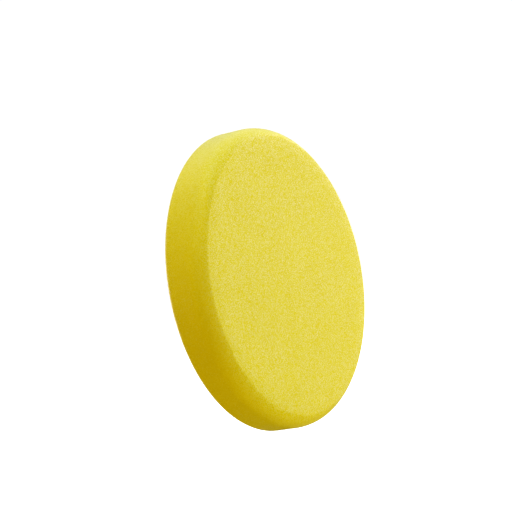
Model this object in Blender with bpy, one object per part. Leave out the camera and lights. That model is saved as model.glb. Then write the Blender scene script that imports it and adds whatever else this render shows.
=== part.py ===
"""Foam polishing pad for a machine polisher: a straight-walled foam disc with a loop backing.

Units are metres and +Z is up. The pad's axis is the Y axis. The loop face, which the
machine's backing plate grips, lies in the plane y = 0 and faces +Y. The foam's working
face faces -Y. The pieces are a stack of discs, glued together on the real pad.
"""

from math import cos, pi, radians, sin

import bmesh
import bpy
from mathutils import Vector

# Driving dimensions
FOAM_DIAMETER = 0.150
FOAM_THICKNESS = 0.022
CROWN_RADIUS = 0.055
CROWN_ANGLE = radians(7)
FACE_EDGE_RADIUS = 0.003
FACE_EDGE_ANGLE = radians(35)
SHOULDER_RADIUS = 0.0104
BACK_EDGE_RADIUS = 0.0016
LOOP_DIAMETER = 0.140
FILM_INSET = 0.0005
FILM_THICKNESS = 0.0003
KNIT_THICKNESS = 0.0006
PILE_HEIGHT = 0.0012
FABRIC_EDGE_RADIUS = 0.0002
LAYER_GAP = 0.0003

# Fineness of the turned shapes
SEGMENTS = 96
SHOULDER_STEPS = 8
FACE_EDGE_STEPS = 5
CROWN_STEPS = 3
BACK_ARC_STEPS = 4
FABRIC_ARC_STEPS = 2
MERGE_DISTANCE = 0.00001
SHARP_ANGLE = radians(30)

AXIS = Vector((0, 1, 0))

# Stack of layers, from the loop face at y = 0 towards the working face at -Y
PILE_TOP = 0.0
KNIT_TOP = PILE_TOP - PILE_HEIGHT - LAYER_GAP
FILM_TOP = KNIT_TOP - KNIT_THICKNESS - LAYER_GAP
FOAM_TOP = FILM_TOP - FILM_THICKNESS - LAYER_GAP


def clear_scene():
    """Start from an empty scene."""
    for item in list(bpy.data.objects):
        bpy.data.objects.remove(item, do_unlink=True)


def material(name, colour, roughness, metallic=0.0):
    """A Principled material of one colour."""
    made = bpy.data.materials.new(name)
    made.use_nodes = True
    shader = made.node_tree.nodes["Principled BSDF"]
    shader.inputs["Base Color"].default_value = (*colour, 1.0)
    shader.inputs["Roughness"].default_value = roughness
    shader.inputs["Metallic"].default_value = metallic
    made.diffuse_color = (*colour, 1.0)
    return made


def arc(centre, radius, start, end, steps):
    """Points of an arc in the (radius, height) plane; angles are measured from the radius axis."""
    points = []
    for step in range(steps + 1):
        angle = start + (end - start) * step / steps
        points.append((centre[0] + radius * cos(angle), centre[1] + radius * sin(angle)))
    return points


def disc_profile(radius, top, thickness, edge, steps):
    """Half outline of a disc as (radius, y) points, from the axis at the top to the axis below."""
    low = top - thickness
    upper = arc((radius - edge, top - edge), edge, 0.5 * pi, 0.0, steps)
    lower = arc((radius - edge, low + edge), edge, 0.0, -0.5 * pi, steps)
    return [(0.0, top), *upper, *lower, (0.0, low)]


def foam_profile():
    """Half outline of the foam: back rim, wall, shoulder, tight face edge, slight crown, flat face."""
    radius = 0.5 * FOAM_DIAMETER
    low = FOAM_TOP - FOAM_THICKNESS
    edge_turn = sin(FACE_EDGE_ANGLE) - sin(CROWN_ANGLE)
    flat = (
        radius
        - SHOULDER_RADIUS * (1 - sin(FACE_EDGE_ANGLE))
        - FACE_EDGE_RADIUS * edge_turn
        - CROWN_RADIUS * sin(CROWN_ANGLE)
    )
    crown_centre = (flat, low + CROWN_RADIUS)
    inward = CROWN_RADIUS - FACE_EDGE_RADIUS
    edge_centre = (
        crown_centre[0] + inward * sin(CROWN_ANGLE),
        crown_centre[1] - inward * cos(CROWN_ANGLE),
    )
    inward = SHOULDER_RADIUS - FACE_EDGE_RADIUS
    shoulder_centre = (
        edge_centre[0] - inward * sin(FACE_EDGE_ANGLE),
        edge_centre[1] + inward * cos(FACE_EDGE_ANGLE),
    )
    back_centre = (radius - BACK_EDGE_RADIUS, FOAM_TOP - BACK_EDGE_RADIUS)
    return [
        (0.0, FOAM_TOP),
        *arc(back_centre, BACK_EDGE_RADIUS, 0.5 * pi, 0.0, BACK_ARC_STEPS),
        *arc(shoulder_centre, SHOULDER_RADIUS, 0.0, FACE_EDGE_ANGLE - 0.5 * pi, SHOULDER_STEPS),
        *arc(
            edge_centre, FACE_EDGE_RADIUS,
            FACE_EDGE_ANGLE - 0.5 * pi, CROWN_ANGLE - 0.5 * pi, FACE_EDGE_STEPS,
        )[1:],
        *arc(crown_centre, CROWN_RADIUS, CROWN_ANGLE - 0.5 * pi, -0.5 * pi, CROWN_STEPS)[1:],
        (0.0, low),
    ]


def turned_solid(name, profile, finish):
    """Spin a half outline about the pad's axis into one closed solid."""
    shape = bmesh.new()
    points = [shape.verts.new((distance, height, 0.0)) for distance, height in profile]
    edges = [shape.edges.new(pair) for pair in zip(points, points[1:])]
    bmesh.ops.spin(
        shape,
        geom=points + edges,
        cent=(0, 0, 0),
        axis=AXIS,
        angle=2 * pi,
        steps=SEGMENTS,
        use_duplicate=False,
    )
    bmesh.ops.remove_doubles(shape, verts=shape.verts[:], dist=MERGE_DISTANCE)
    bmesh.ops.recalc_face_normals(shape, faces=shape.faces[:])
    mesh = bpy.data.meshes.new(name)
    shape.to_mesh(mesh)
    shape.free()
    mesh.shade_smooth()
    mesh.set_sharp_from_angle(angle=SHARP_ANGLE)
    mesh.materials.append(finish)
    made = bpy.data.objects.new(name, mesh)
    bpy.context.collection.objects.link(made)
    return made


def foam_body():
    """Open-cell foam disc: sharp-looking back rim, soft shoulder, and a visible edge to the face."""
    foam = material("yellow_foam", (0.80, 0.66, 0.03), 0.9)
    return turned_solid("foam_body", foam_profile(), foam)


def fabric_layer(name, diameter, top, thickness, finish):
    """A thin die-cut disc with slightly softened edges."""
    edge = min(FABRIC_EDGE_RADIUS, 0.4 * thickness)
    profile = disc_profile(0.5 * diameter, top, thickness, edge, FABRIC_ARC_STEPS)
    return turned_solid(name, profile, finish)


def bond_film():
    """Hot-melt adhesive that holds the loop fabric on the foam."""
    glue = material("hot_melt_adhesive", (0.78, 0.74, 0.62), 0.45)
    diameter = LOOP_DIAMETER - 2 * FILM_INSET
    return fabric_layer("bond_film", diameter, FILM_TOP, FILM_THICKNESS, glue)


def loop_ground_knit():
    """Flat knitted ground that carries the loops."""
    knit = material("white_knit", (0.80, 0.80, 0.79), 0.85)
    return fabric_layer("loop_ground_knit", LOOP_DIAMETER, KNIT_TOP, KNIT_THICKNESS, knit)


def loop_pile():
    """The standing loops, as one solid of their outer shape."""
    pile = material("white_loop_pile", (0.86, 0.86, 0.85), 0.9)
    return fabric_layer("loop_pile", LOOP_DIAMETER, PILE_TOP, PILE_HEIGHT, pile)


def main():
    clear_scene()
    pad = bpy.data.objects.new("pad_axis", None)
    bpy.context.collection.objects.link(pad)
    for piece in (foam_body(), bond_film(), loop_ground_knit(), loop_pile()):
        piece.parent = pad


main()
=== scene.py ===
"""Looks of the foam polishing pad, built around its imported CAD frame.

Metres, +Z up. The pad's axis is Y: the foam's working face looks along -Y and the loop
face, held by the polisher's hook plate, lies at y = 0 and looks along +Y.
"""

from math import acos, atan2, cos, pi, radians, sin

import bpy
import numpy as np
from mathutils import Matrix, Vector, noise


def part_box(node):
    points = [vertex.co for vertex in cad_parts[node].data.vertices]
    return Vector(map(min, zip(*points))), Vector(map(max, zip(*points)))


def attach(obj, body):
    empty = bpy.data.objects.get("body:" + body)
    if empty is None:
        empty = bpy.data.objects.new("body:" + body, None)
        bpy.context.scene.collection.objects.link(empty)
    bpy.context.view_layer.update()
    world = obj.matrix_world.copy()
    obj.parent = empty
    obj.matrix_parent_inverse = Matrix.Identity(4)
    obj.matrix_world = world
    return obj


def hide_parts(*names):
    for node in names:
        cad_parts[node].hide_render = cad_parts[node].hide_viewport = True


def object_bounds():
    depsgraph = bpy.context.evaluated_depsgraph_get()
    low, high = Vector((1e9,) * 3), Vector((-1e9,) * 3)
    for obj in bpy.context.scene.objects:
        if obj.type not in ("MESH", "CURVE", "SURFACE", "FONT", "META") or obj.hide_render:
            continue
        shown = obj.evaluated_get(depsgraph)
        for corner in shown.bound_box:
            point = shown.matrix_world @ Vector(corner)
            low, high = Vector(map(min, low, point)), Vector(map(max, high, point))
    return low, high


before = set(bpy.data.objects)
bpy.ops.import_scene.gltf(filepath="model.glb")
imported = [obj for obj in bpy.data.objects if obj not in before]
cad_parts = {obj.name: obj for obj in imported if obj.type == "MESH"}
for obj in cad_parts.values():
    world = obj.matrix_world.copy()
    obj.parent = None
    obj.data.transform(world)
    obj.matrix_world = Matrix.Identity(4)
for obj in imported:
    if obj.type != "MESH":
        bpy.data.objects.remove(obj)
cad_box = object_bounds()

MM = 0.001

# Foam block: shoulder, tight edge of the face, slight crown and back rounding
SHOULDER = 10.4 * MM
FACE_EDGE = 3.0 * MM
FACE_EDGE_TURN = radians(35)
CROWN = 55.0 * MM
CROWN_TURN = radians(7)
BACK_ROUND = 1.6 * MM

# Foam mesh: spacing of its points, and the part of its back that the fabric hides
FOAM_STEP = 0.52 * MM
WALL_STEP = 1.1 * FOAM_STEP
BACK_STEP = 1.2 * FOAM_STEP
BACK_ROUND_STEPS = 5
HIDDEN_BACK_RADIUS = 66.0 * MM
HIDDEN_MARGIN = 3.0 * MM
HIDDEN_BACK_POINTS = 96

# Foam relief: point by point, at the size of a few cells, and slow waves of the cut
FOAM_GRAIN = 0.012 * MM
CELL_RELIEF = 0.012 * MM
CELL_RELIEF_WIDTH = 1.3 * MM
WAVE_RELIEF = 0.06 * MM
WAVE_WIDTH = 24.0 * MM

# Foam colour: dark and pale tones of cells, of specks inside them and of slow patches; the pale,
# whitish ends of the cell and speck tones are partly painted glint of strut tips
CELLS_PER_METRE = 3100.0
SPECKS_PER_METRE = 0.8 * CELLS_PER_METRE
PATCHES_PER_METRE = 45.0
CELL_TONES_WITH_PAINTED_GLINT = ((0.750, 0.610, 0.000), (0.850, 0.720, 0.075))
SPECK_TONES_WITH_PAINTED_GLINT = ((0.770, 0.630, 0.000), (0.830, 0.700, 0.075))
PATCH_TONES = ((0.740, 0.600, 0.030), (0.860, 0.730, 0.045))
SPECK_SHARE = 0.25
PATCH_SHARE = 0.10
FOAM_ROUGHNESS = (0.64, 0.50)

# Foam gloss: strut tips glint cell by cell on the cut face, and more evenly on the wall
GLINT_LEVEL = 3.2
EVEN_GLINT = 0.19
EVEN_SHARE_ON_WALL = 0.45
EVEN_START = 0.5 * MM
EVEN_END = 4.0 * MM
FOAM_SHEEN = 0.27
FOAM_SHEEN_ROUGHNESS = 0.35
FOAM_BUMP = 0.08 * MM

# Adhesive film
FILM_STEP = 2.5 * MM
FILM_EDGE = 0.5 * MM
FILM_OVERLAP = 0.05 * MM
FILM_RIM_WANDER = 0.7 * MM
FILM_TONES = ((0.62, 0.57, 0.40), (0.78, 0.74, 0.58))

# Knitted ground of the loop fabric
FABRIC_STEP = 0.8 * MM
FABRIC_EDGE = 0.3 * MM
FABRIC_RIM_WANDER = 0.25 * MM
FABRIC_RELIEF = 0.05 * MM
FABRIC_SAG_WIDTH = 9.0 * MM
WALE_PITCH = 1.25 * MM
KNIT_TONES = ((0.62, 0.62, 0.60), (0.80, 0.80, 0.78))
DISC_EDGE_STEPS = 6

# Loop yarns: the ranges of their width, height, lean and thickness vary from loop to loop
LOOP_COUNT = 7400
LOOP_POINTS = 5
LOOP_YARN = 0.085 * MM
LOOP_RIM_MARGIN = 0.5 * MM
LOOP_ROOT_DEPTH = 0.05 * MM
LOOP_SIDE_SPREAD = 0.7
LOOP_WIDTH_MM = (0.75, 1.45)
LOOP_HEIGHT_SHARE = (0.75, 1.0)
LOOP_LEAN_MM = (0.2, 1.1)
YARN_THICKNESS_SHARE = (0.85, 1.35)
YARN_FLATNESS = 1.5
NAP_TURN = radians(65)
NAP_SPREAD = 0.8
YARN_TONES = ((0.74, 0.74, 0.72), (0.90, 0.90, 0.88))

# Camera: angle from the pad's axis, rise of that axis in the picture, distance and aim
VIEW_ANGLE = radians(57.1)
AXIS_RISE = radians(11.1)
CAMERA_HEIGHT_ANGLE = radians(3)
CAMERA_DISTANCE = 0.9343
LENS = 132.7
SENSOR = 36.0
AIM_RIGHT = -9.7 * MM
AIM_UP = 10.6 * MM
AIM_DEPTH = 12.5 * MM

# Studio: a floor and surroundings that the camera sees as white
SEEN_WHITE = 1.05
FLOOR_DROP = 60 * MM
FLOOR_HALF = 6.0

# Softboxes: name, turn to the right from the camera and height in degrees, size in metres,
# and watts of red, green and blue
LIGHT_DISTANCE = 1.2
SOFTBOXES = (
    ("front_high", 0, 50, 0.7, (4.06, 3.39, 0.00)),
    ("key_right", 75, 10, 0.3, (6.10, 5.60, 2.40)),
    ("right_low", 90, -30, 0.7, (4.75, 5.10, 0.50)),
    ("rear_right", 135, 10, 0.7, (3.94, 4.17, 4.69)),
    ("rear_right_high", 135, 35, 0.3, (4.67, 4.94, 5.56)),
    ("rear_high", 180, 50, 0.7, (2.10, 2.30, 3.60)),
    ("rear_left_high", 225, 50, 0.7, (2.90, 3.10, 2.34)),
    ("warm_left", 315, 10, 0.7, (6.10, 4.90, 0.00)),
    ("left_high", 315, 50, 0.7, (1.00, 1.10, 0.50)),
    ("floor_bounce", 0, -75, 0.7, (6.20, 4.64, 0.00)),
    ("overhead", 0, 80, 0.7, (3.43, 5.44, 3.88)),
)
LOOP_SIDE_SIZE = 0.3
LOOP_SIDE_WATTS = (9.5, 9.6, 10.4)

foam_low, foam_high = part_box("foam_body")
film_low, film_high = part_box("bond_film")
knit_low, knit_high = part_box("loop_ground_knit")
pile_low, pile_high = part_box("loop_pile")
FOAM_RADIUS = foam_high.x
FABRIC_RADIUS = knit_high.x
FRONT_Y = foam_low.y
BACK_Y = foam_high.y

rng = np.random.default_rng(41)


# ---------------------------------------------------------------- mesh helpers

def stitch(inner, outer):
    """Triangles between two rings of (index, angle) lists that both go once round."""
    faces = []
    i = j = 0
    n, m = len(inner), len(outer)
    while i < n or j < m:
        next_inner = inner[i + 1][1] if i + 1 < n else inner[0][1] + 2 * pi
        next_outer = outer[j + 1][1] if j + 1 < m else outer[0][1] + 2 * pi
        a, b = inner[i % n][0], outer[j % m][0]
        if j >= m or (i < n and next_inner < next_outer):
            faces.append((a, inner[(i + 1) % n][0], b))
            i += 1
        else:
            faces.append((a, outer[(j + 1) % m][0], b))
            j += 1
    return faces


def turned_mesh(rings):
    """Points, outward normals and triangles of a closed turned body.

    Each ring is (radius, y, normal along the radius, normal along y, number of points).
    """
    points, normals, faces = [], [], []
    last = None
    for number, (radius, y, out, along, count) in enumerate(rings):
        shift = 0.5 * (number % 2) if count > 1 and last and len(last) == count else 0.0
        ring = []
        for k in range(count):
            angle = 2 * pi * (k + shift) / count
            ring.append((len(points), angle))
            points.append((radius * cos(angle), y, radius * sin(angle)))
            normals.append((out * cos(angle), along, out * sin(angle)))
        if last:
            if len(last) == 1:
                faces += [(last[0][0], ring[k][0], ring[k - 1][0]) for k in range(count)]
            elif count == 1:
                faces += [(last[k][0], ring[0][0], last[k - 1][0]) for k in range(len(last))]
            else:
                faces += stitch(last, ring)
        last = ring
    return np.array(points), np.array(normals), faces


def flipped(faces):
    """The same faces, wound the other way."""
    return [face[::-1] for face in faces]


def mesh_object(name, points, faces, material):
    """A smooth-shaded mesh object in the row frame."""
    mesh = bpy.data.meshes.new(name)
    mesh.from_pydata([tuple(p) for p in points], [], faces)
    mesh.validate()
    mesh.shade_smooth()
    mesh.materials.append(material)
    made = bpy.data.objects.new(name, mesh)
    bpy.context.scene.collection.objects.link(made)
    return made


def noise_at(points, scale, offset=0.0):
    """Smooth noise from -1 to 1 at each point, with features about scale wide."""
    shift = Vector((offset, offset, offset))
    return np.array([noise.noise(Vector(p) / scale + shift) for p in points])


# ---------------------------------------------------------------- foam block

def foam_rings():
    """Rings over the working face, its edge, the shoulder, the side wall and the back."""
    shoulder_radius = FOAM_RADIUS - SHOULDER
    edge_radius = shoulder_radius + (SHOULDER - FACE_EDGE) * sin(FACE_EDGE_TURN)
    flat = edge_radius - (CROWN - FACE_EDGE) * sin(CROWN_TURN)
    crown_y = FRONT_Y + CROWN
    edge_y = crown_y - (CROWN - FACE_EDGE) * cos(CROWN_TURN)
    shoulder_y = edge_y + (SHOULDER - FACE_EDGE) * cos(FACE_EDGE_TURN)
    rows = round(flat / FOAM_STEP)
    rings = [(0.0, FRONT_Y, 0.0, -1.0, 1)]
    rings += [(flat * k / rows, FRONT_Y, 0.0, -1.0, 6 * k) for k in range(1, rows + 1)]
    count = 6 * rows
    for radius, y, size, start, end in (
        (flat, crown_y, CROWN, 0.0, CROWN_TURN),
        (edge_radius, edge_y, FACE_EDGE, CROWN_TURN, FACE_EDGE_TURN),
        (shoulder_radius, shoulder_y, SHOULDER, FACE_EDGE_TURN, 0.5 * pi),
    ):
        steps = max(4, round((end - start) * size / FOAM_STEP))
        for k in range(1, steps + 1):
            turn = start + (end - start) * k / steps
            out, along = sin(turn), -cos(turn)
            rings.append((radius + size * out, y + size * along, out, along, count))
    wall_end = BACK_Y - BACK_ROUND
    wall = wall_end - shoulder_y
    steps = round(wall / WALL_STEP)
    for k in range(1, steps + 1):
        rings.append((FOAM_RADIUS, shoulder_y + wall * k / steps, 1.0, 0.0, count))
    edge = FOAM_RADIUS - BACK_ROUND
    for k in range(1, BACK_ROUND_STEPS + 1):
        turn = 0.5 * pi * k / BACK_ROUND_STEPS
        out, along = cos(turn), sin(turn)
        radius = FOAM_RADIUS - BACK_ROUND * (1 - out)
        rings.append((radius, wall_end + BACK_ROUND * along, out, along, count))
    steps = round((edge - HIDDEN_BACK_RADIUS) / BACK_STEP)
    for k in range(1, steps + 1):
        radius = edge + (HIDDEN_BACK_RADIUS - edge) * k / steps
        rings.append((radius, BACK_Y, 0.0, 1.0, count))
    rings.append((0.5 * HIDDEN_BACK_RADIUS, BACK_Y, 0.0, 1.0, HIDDEN_BACK_POINTS))
    rings.append((0.0, BACK_Y, 0.0, 1.0, 1))
    return rings


def foam_block(material):
    """The foam disc with the fine unevenness of cut open cells in its surface."""
    points, normals, faces = turned_mesh(foam_rings())
    on_back = points[:, 1] > BACK_Y - 0.01 * MM
    under_fabric = np.hypot(points[:, 0], points[:, 2]) < HIDDEN_BACK_RADIUS + HIDDEN_MARGIN
    grain = rng.normal(0.0, FOAM_GRAIN, len(points))
    cells = CELL_RELIEF * noise_at(points, CELL_RELIEF_WIDTH)
    waves = WAVE_RELIEF * noise_at(points, WAVE_WIDTH, 7.0)
    move = np.where(on_back & under_fabric, 0.0, grain + cells + waves)
    return mesh_object("foam_block", points + normals * move[:, None], faces, material)


# ---------------------------------------------------------------- adhesive and loop fabric

def disc_rings(radius, step, low, high, edge_round, back_count):
    """Rings of a thin disc: fine on its +Y side, round at its edge, coarse on its -Y side."""
    flat = radius - edge_round
    rows = round(flat / step)
    count = 6 * rows
    rings = [(0.0, high, 0.0, 1.0, 1)]
    rings += [(flat * k / rows, high, 0.0, 1.0, 6 * k) for k in range(1, rows + 1)]
    middle, half = 0.5 * (low + high), 0.5 * (high - low)
    for k in range(1, DISC_EDGE_STEPS):
        turn = pi * k / DISC_EDGE_STEPS
        out, along = sin(turn), cos(turn)
        rings.append((flat + edge_round * out, middle + half * along, out, along, count))
    rings.append((flat, low, 0.0, -1.0, count))
    rings += [(0.5 * flat, low, 0.0, -1.0, back_count), (0.0, low, 0.0, -1.0, 1)]
    return rings


def rim_wander(points, amount, scale):
    """Move points in and out along their radius, more the nearer they are to the rim."""
    around = np.column_stack([points[:, 0], np.zeros(len(points)), points[:, 2]])
    distance = np.hypot(points[:, 0], points[:, 2])
    share = np.clip(distance / distance.max(), 0, 1) ** 12
    factor = 1 + amount * share * noise_at(around, scale, 3.0) / distance.max()
    return points * np.column_stack([factor, np.ones(len(points)), factor])


def adhesive_film(material):
    """Hot-melt layer that fills the joint, with a slightly uneven squeezed-out edge."""
    low, high = BACK_Y - FILM_OVERLAP, knit_low.y + FILM_OVERLAP
    points, _, faces = turned_mesh(disc_rings(film_high.x, FILM_STEP, low, high, FILM_EDGE, 48))
    points = rim_wander(points, FILM_RIM_WANDER, 2.2 * MM)
    return mesh_object("hot_melt_film", points, flipped(faces), material)


def ground_knit(material):
    """Die-cut knitted ground: fine wales, soft unevenness and a slightly frayed rim."""
    radius = FABRIC_RADIUS - FABRIC_EDGE
    rings = disc_rings(radius, FABRIC_STEP, knit_low.y, knit_high.y, FABRIC_EDGE, 96)
    points, normals, faces = turned_mesh(rings)
    wales = FABRIC_RELIEF * np.sin(2 * pi * points[:, 0] / (2 * WALE_PITCH))
    sag = FABRIC_RELIEF * noise_at(points, FABRIC_SAG_WIDTH, 5.0)
    points = points + normals * (wales + sag)[:, None]
    points = rim_wander(points, FABRIC_RIM_WANDER, 0.9 * MM)
    return mesh_object("loop_fabric_ground", points, flipped(faces), material)


def pile_roots():
    """Where the loops stand: along the wales, jittered, as in a napped warp knit."""
    limit = FABRIC_RADIUS - LOOP_RIM_MARGIN
    course = pi * limit * limit / (LOOP_COUNT * WALE_PITCH)
    roots = []
    wales = int(limit / WALE_PITCH) + 1
    courses = int(limit / course) + 1
    for wale in range(-wales, wales + 1):
        for row in range(-courses, courses + 1):
            x = (wale + 0.22 * rng.normal()) * WALE_PITCH
            z = (row + 0.5 * (wale % 2) + 0.25 * rng.normal()) * course
            if x * x + z * z < limit * limit:
                roots.append((x, z))
    return np.array(roots)


def level_directions(turns):
    """Unit vectors in the plane of the fabric, one for each turn."""
    return np.column_stack([np.cos(turns), np.zeros(len(turns)), np.sin(turns)])


def yarn_faces():
    """Triangles of one loop: three-sided tubes along its points, closed at both ends."""
    faces = []
    for step in range(LOOP_POINTS - 1):
        for k in range(3):
            a, b = 3 * step + k, 3 * step + (k + 1) % 3
            faces += [(a, b, b + 3), (a, b + 3, a + 3)]
    last = 3 * (LOOP_POINTS - 1)
    faces += [(2, 1, 0), (last, last + 1, last + 2)]
    return np.array(faces)


def loop_yarns(material):
    """Thousands of separate yarn loops, leaning with the nap, as one piece."""
    roots = pile_roots()
    number = len(roots)
    across = level_directions(rng.normal(0.0, LOOP_SIDE_SPREAD, number))
    nap = level_directions(NAP_TURN + rng.normal(0.0, NAP_SPREAD, number))
    width = rng.uniform(*LOOP_WIDTH_MM, number) * MM
    room = pile_high.y - knit_high.y - LOOP_YARN
    tall = rng.uniform(*LOOP_HEIGHT_SHARE, number) * room
    lean = rng.uniform(*LOOP_LEAN_MM, number) * MM
    out = np.array([0.0, 1.0, 0.0])
    root_y = np.full(number, knit_high.y - LOOP_ROOT_DEPTH)
    base = np.column_stack([roots[:, 0], root_y, roots[:, 1]])
    lines = []
    for t in np.linspace(0.0, 1.0, LOOP_POINTS):
        rise = sin(pi * t) ** 0.8
        spread = -0.5 * cos(pi * t) * (1 + 0.35 * sin(pi * t))
        lines.append(
            base + across * (width * spread)[:, None] + nap * (lean * rise ** 1.5)[:, None]
            + out * (tall * rise)[:, None]
        )
    lines = np.stack(lines, 1)
    along = np.gradient(lines, axis=1)
    along /= np.linalg.norm(along, axis=2, keepdims=True)
    flat_way = np.cross(along, (out + nap * 0.4)[:, None, :])
    flat_way /= np.linalg.norm(flat_way, axis=2, keepdims=True)
    other_way = np.cross(along, flat_way)
    thick = rng.uniform(*YARN_THICKNESS_SHARE, number)[:, None, None] * LOOP_YARN
    rings = [
        lines + thick * (YARN_FLATNESS * cos(turn) * flat_way + sin(turn) * other_way)
        for turn in (0.0, 2 * pi / 3, 4 * pi / 3)
    ]
    points = np.stack(rings, 2).reshape(-1, 3)
    starts = 3 * LOOP_POINTS * np.arange(number)[:, None]
    faces = (starts[:, :, None] + yarn_faces()[None]).reshape(-1, 3)
    return mesh_object("loop_pile_yarns", points, faces.tolist(), material)


# ---------------------------------------------------------------- materials

def new_material(name):
    """A new material, its node tree and its Principled shader."""
    made = bpy.data.materials.new(name)
    made.use_nodes = True
    tree = made.node_tree
    return made, tree, tree.nodes["Principled BSDF"]


def node(tree, kind, **values):
    """A node with its settings; names that aren't settings are input sockets."""
    made = tree.nodes.new(kind)
    for key, value in values.items():
        if hasattr(made, key):
            setattr(made, key, value)
        else:
            made.inputs[key.replace("_", " ")].default_value = value
    return made


def object_place(tree, *textures):
    """Feed the textures with places on the object, and return that socket."""
    place = node(tree, "ShaderNodeTexCoord").outputs["Object"]
    for texture in textures:
        tree.links.new(place, texture.inputs["Vector"])
    return place


def ramp(tree, source, first, second):
    """A colour ramp over source between two (position, colour or grey) stops."""
    made = tree.nodes.new("ShaderNodeValToRGB")
    tree.links.new(source, made.inputs["Fac"])
    for element, (place, colour) in zip(made.color_ramp.elements, (first, second)):
        element.position = place
        element.color = (*(colour if isinstance(colour, tuple) else (colour,) * 3), 1.0)
    return made.outputs["Color"]


def mix(tree, amount, first, second):
    """Mix two colours, each a socket or a plain colour."""
    made = tree.nodes.new("ShaderNodeMix")
    made.data_type = "RGBA"
    for index, value in ((0, amount), (6, first), (7, second)):
        if isinstance(value, bpy.types.NodeSocket):
            tree.links.new(value, made.inputs[index])
        elif index == 0:
            made.inputs[index].default_value = value
        else:
            made.inputs[index].default_value = (*value, 1.0)
    return made.outputs[2]


def foam_material():
    """Matt yellow open-cell foam: darker and paler cells at random, the pale whitish ones partly
    a painted glint of strut tips, real glints of shiny strut tips from a patchy specular level,
    and a slow change of tone.
    """
    made, tree, shader = new_material("foam_yellow_cells")
    pores = node(tree, "ShaderNodeTexVoronoi", Scale=CELLS_PER_METRE)
    speck = node(tree, "ShaderNodeTexNoise", Scale=SPECKS_PER_METRE, Detail=1.0, Roughness=0.6)
    patch = node(tree, "ShaderNodeTexNoise", Scale=PATCHES_PER_METRE, Detail=2.0)
    place = object_place(tree, pores, speck, patch)
    cell, grain, slow = pores.outputs["Color"], speck.outputs["Fac"], patch.outputs["Fac"]

    # Cell and speck tones differ at random; their pale, whitish ends are partly painted glint of
    # strut tips
    tone = ramp(tree, cell, (0.20, CELL_TONES_WITH_PAINTED_GLINT[0]), (0.80, CELL_TONES_WITH_PAINTED_GLINT[1]))
    specks = ramp(tree, grain, (0.4, SPECK_TONES_WITH_PAINTED_GLINT[0]), (0.6, SPECK_TONES_WITH_PAINTED_GLINT[1]))
    patches = ramp(tree, slow, (0.35, PATCH_TONES[0]), (0.65, PATCH_TONES[1]))
    tone = mix(tree, PATCH_SHARE, mix(tree, SPECK_SHARE, tone, specks), patches)
    tree.links.new(tone, shader.inputs["Base Color"])
    rough = ramp(tree, grain, (0.4, FOAM_ROUGHNESS[0]), (0.6, FOAM_ROUGHNESS[1]))
    tree.links.new(rough, shader.inputs["Roughness"])

    glint = ramp(tree, cell, (0.56, 0.0), (0.74, 1.0))
    depth = node(tree, "ShaderNodeSeparateXYZ")
    tree.links.new(place, depth.inputs["Vector"])
    even = node(
        tree, "ShaderNodeMapRange",
        From_Min=FRONT_Y + EVEN_START, From_Max=FRONT_Y + EVEN_END, To_Max=EVEN_SHARE_ON_WALL,
    )
    tree.links.new(depth.outputs["Y"], even.inputs["Value"])
    level = node(tree, "ShaderNodeMath", operation="MULTIPLY")
    tree.links.new(mix(tree, even.outputs["Result"], glint, (EVEN_GLINT,) * 3), level.inputs[0])
    level.inputs[1].default_value = GLINT_LEVEL
    tree.links.new(level.outputs["Value"], shader.inputs["Specular IOR Level"])
    shader.inputs["Sheen Weight"].default_value = FOAM_SHEEN
    shader.inputs["Sheen Roughness"].default_value = FOAM_SHEEN_ROUGHNESS

    bump = node(tree, "ShaderNodeBump", Strength=0.5, Distance=FOAM_BUMP)
    tree.links.new(grain, bump.inputs["Height"])
    pits = node(tree, "ShaderNodeBump", Strength=0.5, Distance=FOAM_BUMP, invert=True)
    tree.links.new(pores.outputs["Distance"], pits.inputs["Height"])
    tree.links.new(bump.outputs["Normal"], pits.inputs["Normal"])
    tree.links.new(pits.outputs["Normal"], shader.inputs["Normal"])
    return made


def fabric_material(name, dark, light, fibres_per_metre):
    """White textile with fibre-fine unevenness of tone."""
    made, tree, shader = new_material(name)
    fibre = node(tree, "ShaderNodeTexNoise", Scale=fibres_per_metre, Detail=3.0, Roughness=0.7)
    patch = node(tree, "ShaderNodeTexNoise", Scale=120.0, Detail=2.0)
    object_place(tree, fibre, patch)
    tone = ramp(tree, fibre.outputs["Fac"], (0.35, dark), (0.65, light))
    slow = ramp(tree, patch.outputs["Fac"], (0.35, dark), (0.65, light))
    tree.links.new(mix(tree, 0.4, tone, slow), shader.inputs["Base Color"])
    rough = ramp(tree, fibre.outputs["Fac"], (0.3, 0.9), (0.7, 0.65))
    tree.links.new(rough, shader.inputs["Roughness"])
    bump = node(tree, "ShaderNodeBump", Strength=0.5, Distance=0.05 * MM)
    tree.links.new(fibre.outputs["Fac"], bump.inputs["Height"])
    tree.links.new(bump.outputs["Normal"], shader.inputs["Normal"])
    shader.inputs["Sheen Weight"].default_value = 0.25
    shader.inputs["Sheen Roughness"].default_value = 0.5
    return made


def film_material():
    """Milky hot melt, a little glossy where it was squeezed out."""
    made, tree, shader = new_material("hot_melt_milky")
    flow = node(tree, "ShaderNodeTexNoise", Scale=300.0, Detail=2.0)
    object_place(tree, flow)
    tone = ramp(tree, flow.outputs["Fac"], (0.35, FILM_TONES[0]), (0.65, FILM_TONES[1]))
    tree.links.new(tone, shader.inputs["Base Color"])
    rough = ramp(tree, flow.outputs["Fac"], (0.3, 0.3), (0.7, 0.5))
    tree.links.new(rough, shader.inputs["Roughness"])
    return made


# ---------------------------------------------------------------- stage, camera and lights

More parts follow.
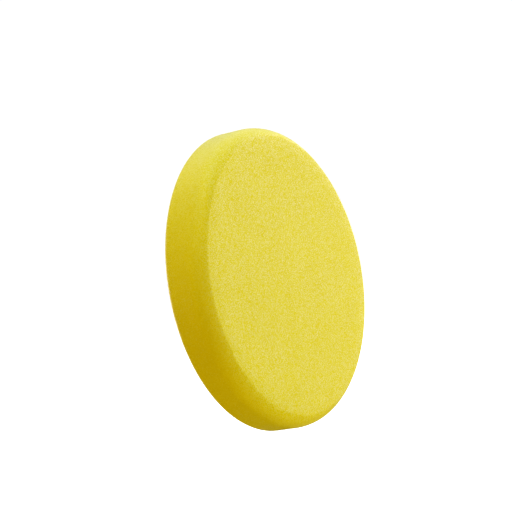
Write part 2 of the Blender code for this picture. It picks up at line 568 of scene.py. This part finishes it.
def camera_axes():
    """Right, up and back of the camera, rolled so that the pad's axis rises as it should."""
    azimuth = -acos(cos(VIEW_ANGLE) / cos(CAMERA_HEIGHT_ANGLE))
    back = Vector((
        sin(azimuth) * cos(CAMERA_HEIGHT_ANGLE),
        -cos(azimuth) * cos(CAMERA_HEIGHT_ANGLE),
        sin(CAMERA_HEIGHT_ANGLE),
    ))
    right = Vector((0, 0, 1)).cross(back).normalized()
    up = back.cross(right)
    face_out = Vector((0, -1, 0))
    level_rise = atan2(face_out.dot(up), face_out.dot(right))
    roll = Matrix.Rotation(level_rise - AXIS_RISE, 3, back)
    return roll @ right, roll @ up, back


def place_camera():
    """The scene's camera; returns its right, up and back, which the softboxes are set out by."""
    right, up, back = camera_axes()
    aim = Vector((0, BACK_Y - AIM_DEPTH, 0)) + right * AIM_RIGHT + up * AIM_UP
    data = bpy.data.cameras.new("photo_camera")
    data.lens = LENS
    data.sensor_width = SENSOR
    camera = bpy.data.objects.new("photo_camera", data)
    bpy.context.scene.collection.objects.link(camera)
    turned = Matrix((right, up, back)).transposed().to_4x4()
    camera.matrix_world = Matrix.Translation(aim + back * CAMERA_DISTANCE) @ turned
    bpy.context.scene.camera = camera
    return right, up, back


def soft_light(name, towards, size, watts):
    """A square studio softbox in direction towards, aimed at the pad."""
    data = bpy.data.lights.new(name, "AREA")
    data.shape = "SQUARE"
    data.size = size
    data.energy = max(watts)
    data.color = [value / max(watts) for value in watts]
    light = bpy.data.objects.new(name, data)
    light.location = towards.normalized() * LIGHT_DISTANCE
    light.rotation_mode = "QUATERNION"
    light.rotation_quaternion = towards.to_track_quat("Z", "Y")
    light.visible_camera = False
    bpy.context.scene.collection.objects.link(light)


def studio(right, up, back):
    """Softboxes round the pad and one that lights its loop side."""
    for name, turn, height, size, watts in SOFTBOXES:
        turn, height = radians(turn), radians(height)
        level = right * sin(turn) + back * cos(turn)
        soft_light(name, level * cos(height) + up * sin(height), size, watts)
    soft_light("loop_side", Vector((0, 1, 0)), LOOP_SIDE_SIZE, LOOP_SIDE_WATTS)


def white_surroundings():
    """The camera sees white all round; the surroundings give no light to the pad."""
    world = bpy.data.worlds.new("studio_white")
    bpy.context.scene.world = world
    world.use_nodes = True
    tree = world.node_tree
    dark = tree.nodes["Background"]
    dark.inputs["Color"].default_value = (1.0, 1.0, 1.0, 1.0)
    dark.inputs["Strength"].default_value = 0.0
    seen = node(tree, "ShaderNodeBackground", Color=(1.0, 1.0, 1.0, 1.0), Strength=SEEN_WHITE)
    which = node(tree, "ShaderNodeMixShader")
    path = node(tree, "ShaderNodeLightPath")
    tree.links.new(path.outputs["Is Camera Ray"], which.inputs["Fac"])
    tree.links.new(dark.outputs["Background"], which.inputs[1])
    tree.links.new(seen.outputs["Background"], which.inputs[2])
    tree.links.new(which.outputs["Shader"], tree.nodes["World Output"].inputs["Surface"])


def floor():
    """A plain white floor below the pad, which throws no light back on it."""
    made, _, shader = new_material("studio_floor_white")
    shader.inputs["Base Color"].default_value = (0.9, 0.9, 0.9, 1.0)
    shader.inputs["Roughness"].default_value = 0.9
    shader.inputs["Emission Color"].default_value = (1.0, 1.0, 1.0, 1.0)
    shader.inputs["Emission Strength"].default_value = SEEN_WHITE
    height = cad_box[0].z - FLOOR_DROP
    corners = [
        (x * FLOOR_HALF, y * FLOOR_HALF, height)
        for x, y in ((-1, -1), (1, -1), (1, 1), (-1, 1))
    ]
    ground = mesh_object("studio_floor", corners, [(0, 1, 2, 3)], made)
    ground.visible_diffuse = False
    ground.visible_glossy = False
    ground.visible_shadow = False


def main():
    """Build the four look pieces on their CAD nodes, then the studio round them."""
    foam = foam_block(foam_material())
    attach(foam, "root")
    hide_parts("foam_body")
    film = adhesive_film(film_material())
    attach(film, "root")
    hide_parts("bond_film")
    knit = ground_knit(fabric_material("knit_white", *KNIT_TONES, 2600.0))
    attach(knit, "root")
    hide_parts("loop_ground_knit")
    pile = loop_yarns(fabric_material("loop_yarn_white", *YARN_TONES, 4000.0))
    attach(pile, "root")
    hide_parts("loop_pile")
    right, up, back = place_camera()
    studio(right, up, back)
    white_surroundings()
    floor()
    bpy.context.scene.view_settings.view_transform = "Standard"
    bpy.context.scene.view_settings.look = "None"


main()
